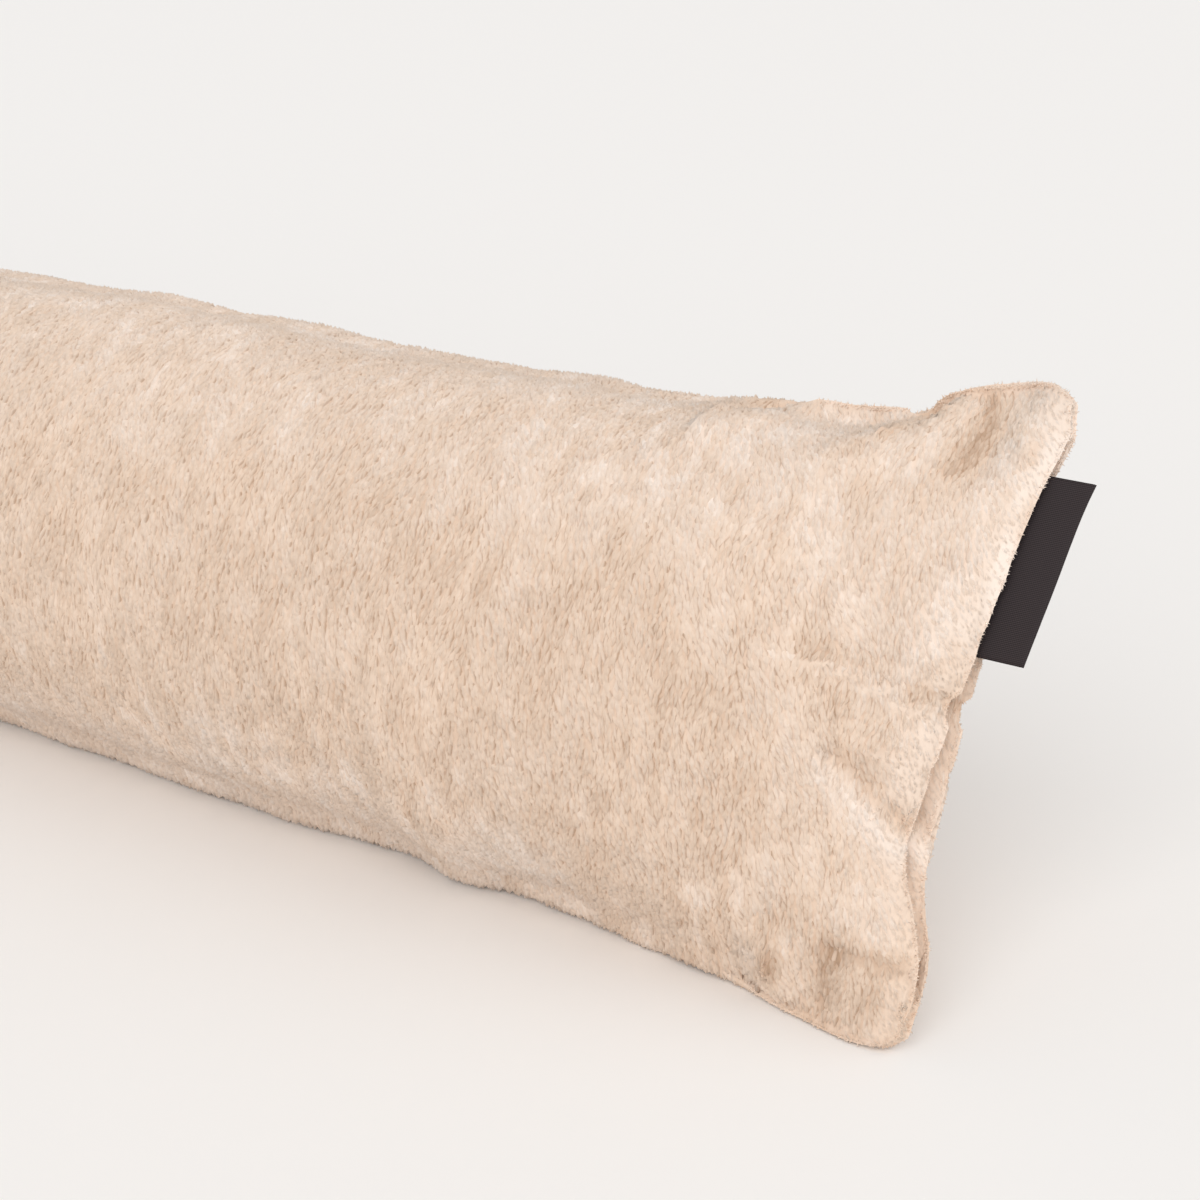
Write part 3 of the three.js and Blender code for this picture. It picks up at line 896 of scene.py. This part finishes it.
cover_points, cover_normals = read_points(cover.data)
ground_smooth = np.maximum(sharp, np.exp(-((from_seam(cover_points) / LIP_REACH) ** 2)))
add_values(cover.data, "tip", GROUND_TIP + (EDGE_TIP - GROUND_TIP) * ground_smooth)
add_values(cover.data, "tone", sheen_and_shade_tone(cover_points, cover_normals))
for piece in [cover, *pile_pieces]:
    piece.data.materials.append(plush.material)
    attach(piece, "root")
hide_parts("cushion")
print("plush on", 1 + len(pile_pieces), "pieces")

# %% [markdown]
# The label is a satin ribbon, folded over once, with both ends caught between the lips of the end
# seam. It follows the line of that seam, which is read from the label's solid.

# %% Where the label sits
SAME_LEVEL = 0.1 * MM


def label_line():
    """Places up the seam, with the solid's inner and outer edge at each of them."""
    solid_points, _ = read_points(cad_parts["label"].data)
    up, _ = on_seam_plane(solid_points)
    levels = np.unique((up / MM).round(1)) * MM
    level_points = [solid_points[np.abs(up - level) < SAME_LEVEL] for level in levels]
    inner = np.array([points[:, 0].min() for points in level_points])
    outer = np.array([points[:, 0].max() for points in level_points])
    return levels, inner, outer


levels, inner, outer = label_line()
span = float((outer - inner).mean())

# %% [markdown]
# The fold is the label's outer edge, and its upper and lower edges are cut and sealed by heat. Its solid
# is thick so that it stays a solid. Here the two layers have the thickness of a real ribbon. Cloth
# simulation would let it droop, but satin this short stays stiff, so a grid is bent along the fold's
# section, with a slight wave.

# %% Folded ribbon
RIBBON_THICKNESS = 0.35 * MM
RIBBON_GAP = 0.5 * MM
RIBBON_STEPS = 40
FOLD_STEPS = 8
SHOWING_STEPS = 12
RIBBON_WAVE = 0.25 * MM
WAVE_RADIAN = 9 * MM


def folded_section(span):
    """The middle line of the folded ribbon: out along one layer, round the fold and back."""
    bend = (RIBBON_GAP + RIBBON_THICKNESS) / 2
    straight = np.linspace(0, span - bend, SHOWING_STEPS)
    angles = np.linspace(math.pi / 2, -math.pi / 2, FOLD_STEPS + 1)[1:-1]
    out = np.concatenate([straight, span - bend + bend * np.cos(angles), straight[::-1]])
    layer = np.full(SHOWING_STEPS, bend)
    over = np.concatenate([layer, bend * np.sin(angles), -layer])
    return out, over


climb = np.linspace(levels[0], levels[-1], RIBBON_STEPS)
out, over = folded_section(span)
base_x = np.interp(climb, levels, inner)
waviness = RIBBON_WAVE * np.sin(climb / WAVE_RADIAN)[:, None] * (out / span)[None, :] ** 2
label_points = (
    SEAM_MIDDLE
    + (base_x[:, None] + out[None, :])[..., None] * ALONG
    + climb[:, None, None] * UP_SEAM
    + (over[None, :] + waviness)[..., None] * OUT_FRONT
)
grid = np.arange(RIBBON_STEPS * len(out)).reshape(RIBBON_STEPS, len(out))
quads = np.stack([grid[:-1, :-1], grid[:-1, 1:], grid[1:, 1:], grid[1:, :-1]], -1).reshape(-1, 4)
ribbon_mesh = bpy.data.meshes.new("ribbon_label")
ribbon_mesh.from_pydata(label_points.reshape(-1, 3).tolist(), [], quads.tolist())
ribbon = bpy.data.objects.new("ribbon_label", ribbon_mesh)
bpy.context.scene.collection.objects.link(ribbon)
thick = ribbon.modifiers.new("thickness", "SOLIDIFY")
thick.thickness = RIBBON_THICKNESS
thick.offset = 0
bpy.context.view_layer.update()
ribbon.data = bpy.data.meshes.new_from_object(ribbon.evaluated_get(bpy.context.evaluated_depsgraph_get()))
ribbon.modifiers.clear()
ribbon.data.shade_smooth()
print("ribbon faces:", len(ribbon.data.polygons))

# %% [markdown]
# Satin shows long floating threads: the weave is a fine ribbing across the label, with a soft gleam. The
# threads are too small to model. An image could show them, but two waves in the ribbon's own directions
# need no file and stay sharp at any distance.

# %% Ribbon finish
THREAD_PITCH = 0.45 * MM
THREAD_HEIGHT = 0.05 * MM
THREAD_RELIEF = 0.4
CROSS_THREADS = 0.7
# the scale at which Blender's wave texture has one wave to the metre
ONE_WAVE = math.pi / 10
RIBBON_COLOUR = (0.016, 0.012, 0.0125, 1)
THREAD_COLOUR = (0.058, 0.045, 0.047, 1)

satin = Finish("satin_ribbon", Roughness=0.6, Specular_IOR_Level=0.12)
ribbon_place = satin.node("ShaderNodeTexCoord", output="Object")
lean_back = satin.node(
    "ShaderNodeVectorRotate", {"rotation_type": "X_AXIS"}, {"Vector": ribbon_place, "Angle": SEAM_LEAN}
)


def threads(direction):
    """A wave for each thread that lies across the given direction."""
    settings = {"wave_type": "BANDS", "bands_direction": direction}
    return satin.node("ShaderNodeTexWave", settings, {"Vector": lean_back, "Scale": ONE_WAVE / THREAD_PITCH})


weave = CROSS_THREADS * threads("Z") + (1 - CROSS_THREADS) * threads("X")
satin.feed("Base Color", satin.mix(weave, RIBBON_COLOUR, THREAD_COLOUR))
weave_relief = {"Strength": THREAD_RELIEF, "Distance": THREAD_HEIGHT, "Height": weave}
satin.feed("Normal", satin.node("ShaderNodeBump", None, weave_relief))
ribbon.data.materials.append(satin.material)
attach(ribbon, "root")
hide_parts("label")
ribbon_width = float(np.hypot(np.diff(out), np.diff(over)).sum())

# %% [markdown]
# The photograph was taken on a pale floor in soft light. A large floor and a bright even surround
# give most of it. Two soft suns light the floor evenly near and far: one from the front for the
# panel, and a weaker one from behind the labelled end, which leaves a soft shadow before the roll.

# %% Floor and light
FLOOR_SIZE = 12
FLOOR_COLOUR = (0.92, 0.90, 0.88, 1)
SURROUND_COLOUR = (1, 1, 1, 1)
SURROUND_STRENGTH = 0.62
# where each sun stands and how strong it is
SUNS = {"front_sun": ((0.6, -2.4, 2.1), 1.2), "back_sun": ((2.6, 1.0, 2.2), 0.55)}
SUN_SPREAD = math.radians(60)

bpy.ops.mesh.primitive_plane_add(size=FLOOR_SIZE)
floor = bpy.context.object
floor.name = "studio_floor"
floor_finish = Finish("pale_floor", Base_Color=FLOOR_COLOUR, Roughness=0.8, Specular_IOR_Level=0.2)
floor.data.materials.append(floor_finish.material)
world = bpy.data.worlds.new("soft_surround")
world.use_nodes = True
world.node_tree.nodes["Background"].inputs["Color"].default_value = SURROUND_COLOUR
world.node_tree.nodes["Background"].inputs["Strength"].default_value = SURROUND_STRENGTH
bpy.context.scene.world = world
for name, (sun_from, strength) in SUNS.items():
    sun_light = bpy.data.lights.new(name, "SUN")
    sun_light.energy = strength
    sun_light.angle = SUN_SPREAD
    sun = bpy.data.objects.new(name, sun_light)
    sun.rotation_euler = (-Vector(sun_from)).to_track_quat("-Z", "Y").to_euler()
    bpy.context.scene.collection.objects.link(sun)
bpy.context.scene.view_settings.view_transform = "Standard"
print("suns:", len(SUNS), "surround:", SURROUND_STRENGTH)
